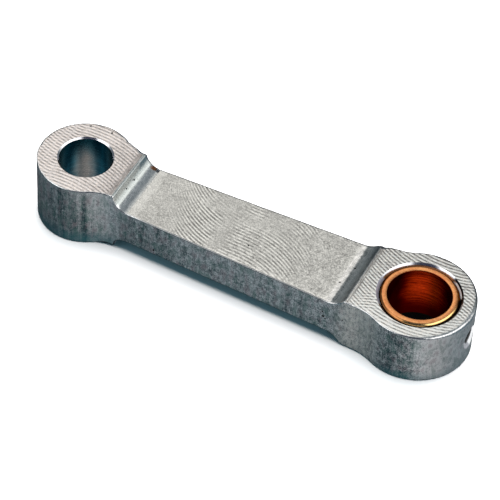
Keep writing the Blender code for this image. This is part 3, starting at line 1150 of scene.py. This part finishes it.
def make_floor():
    """A table, tilted a little under the level rod, because the rod's small end is thicker."""
    mesh = bpy.data.meshes.new("studio_floor")
    corners = [(-1, -1), (1, -1), (1, 1), (-1, 1)]
    spots = [(x * FLOOR_HALF, y * FLOOR_HALF) for x, y in corners]
    points = [Vector((x, y, floor_height(x))) * MM for x, y in spots]
    mesh.from_pydata(points, [], [(0, 1, 2, 3)])
    floor = add_stage(mesh, FLOOR_COLOUR)
    floor.visible_glossy = False
    return floor


def make_shade_in_bore():
    """A patch of floor under the big end's bore, painted dark as the shade there, which the floor
    lamp doesn't light.
    """
    mesh = bpy.data.meshes.new("studio_shade_in_bore")
    points = []
    for i in range(PATCH_CORNERS):
        a = TURN * i / PATCH_CORNERS
        x = ORIGIN.x + CENTRE_DISTANCE + SEAT_RADIUS * math.cos(a)
        points.append(Vector((x, SEAT_RADIUS * math.sin(a), floor_height(x) + PATCH_RISE)) * MM)
    mesh.from_pydata(points, [], [range(PATCH_CORNERS)])
    add_stage(mesh, BORE_SHADE_COLOUR).visible_glossy = False


def add_stage(mesh, colour):
    mesh.materials.append(floor_material(mesh.name, colour))
    floor = bpy.data.objects.new(mesh.name, mesh)
    bpy.context.scene.collection.objects.link(floor)
    return floor


def make_camera():
    data = bpy.data.cameras.new("camera")
    data.lens, data.sensor_width = CAMERA_LENS, SENSOR
    data.clip_start, data.clip_end = 0.01, 10.0
    camera = bpy.data.objects.new("camera", data)
    forward = (CAMERA_AIM - CAMERA_PLACE).normalized()
    level = forward.cross(Vector((0.0, 0.0, 1.0))).normalized()
    rise = level.cross(forward)
    right = level * math.cos(CAMERA_ROLL) + rise * math.sin(CAMERA_ROLL)
    up = right.cross(forward)
    camera.matrix_world = Matrix.Translation(CAMERA_PLACE * MM) @ Matrix(
        (right, up, -forward)
    ).transposed().to_4x4()
    bpy.context.scene.collection.objects.link(camera)
    bpy.context.scene.camera = camera


def card(direction, middle, half, low, high, soft):
    """Part of the sky, from 0 to 1, as a soft-edged panel. Angles are in degrees."""
    x, y, z = direction
    turn = math.radians(middle)
    ahead = x * math.cos(turn) + y * math.sin(turn)
    aside = y * math.cos(turn) - x * math.sin(turn)
    azimuth = aside.math("ARCTAN2", ahead).size() * (180 / math.pi)
    height = z.math("ARCSINE") * (180 / math.pi)
    across = azimuth.step(half + soft, half - soft)
    return across * height.step(low - soft, low + soft) * height.step(high + soft, high - soft)


# Panels of the studio: azimuth of the middle from +X, half width, lower and upper edge, softness,
# and brightness. A panel replaces what is behind it.
PANELS = (
    (150.0, 50.0, 31.0, 84.0, 7.0, (1.25, 1.23, 1.20)),
    (130.0, 75.0, -80.0, 14.0, 12.0, (0.05, 0.075, 0.095)),
    (40.0, 9.0, -8.0, 26.0, 6.0, (0.85, 0.87, 0.86)),
    (-4.0, 41.0, 16.0, 52.0, 7.0, (2.2, 2.2, 2.2)),
    (-76.0, 33.0, -4.0, 64.0, 8.0, (0.035, 0.04, 0.07)),
    (-132.0, 22.0, 20.0, 50.0, 6.0, (2.8, 2.8, 2.8)),
    (-55.0, 48.0, -95.0, -12.0, 20.0, (0.48, 0.50, 0.52)),
)
SKY = (0.34, 0.38, 0.40)
GROUND = (0.15, 0.22, 0.26)


def make_world():
    world = bpy.data.worlds.new("studio")
    world.use_nodes = True
    tree = world.node_tree
    place = tree.nodes.new("ShaderNodeTexCoord")
    split = tree.nodes.new("ShaderNodeSeparateXYZ")
    tree.links.new(place.outputs["Generated"], split.inputs[0])
    direction = [Field(tree, out) for out in split.outputs]
    colour = mix_colours(tree, direction[2].step(-0.12, 0.12), GROUND, SKY)
    for *panel, brightness in PANELS:
        colour = mix_colours(tree, card(direction, *panel), colour, brightness)
    tree.links.new(colour, tree.nodes["Background"].inputs["Color"])
    bpy.context.scene.world = world


def make_floor_lamp(floor):
    """A wide lamp overhead for the floor alone, so that it is white with a close, soft shadow."""
    data = bpy.data.lights.new("floor_lamp", "AREA")
    data.shape = "RECTANGLE"
    data.size, data.size_y = FLOOR_LAMP_SIZE
    data.energy = FLOOR_LAMP_RADIANCE * math.pi * data.size * data.size_y
    data.color = FLOOR_LAMP_COLOUR
    lamp = bpy.data.objects.new("floor_lamp", data)
    way = Vector(FLOOR_LAMP_DIRECTION).normalized()
    lamp.location = way * FLOOR_LAMP_DISTANCE + Vector((0.0, 0.0, SMALL_HALF * MM))
    lamp.rotation_mode = "QUATERNION"
    lamp.rotation_quaternion = way.to_track_quat("Z", "Y")
    bpy.context.scene.collection.objects.link(lamp)
    lit = bpy.data.collections.new("lit_by_floor_lamp")
    lit.objects.link(floor)
    lamp.light_linking.receiver_collection = lit


def make_pieces():
    body = make_rod_body(rod_materials())
    bush = make_bush([bronze_material()])
    cut(body, oil_hole_cutter(body.data.materials[OIL_HOLE]))
    cut(body, pore_cutter(body.data.materials[PIT]))
    cut(bush, oil_hole_cutter(bush.data.materials[0]))
    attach(body, "root")
    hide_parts("rod_body")
    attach(bush, "root")
    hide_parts("big_end_bush")


make_camera()
make_world()
make_floor_lamp(make_floor())
make_shade_in_bore()
make_pieces()
bpy.context.scene.view_settings.view_transform = "Standard"

bpy.context.view_layer.update()
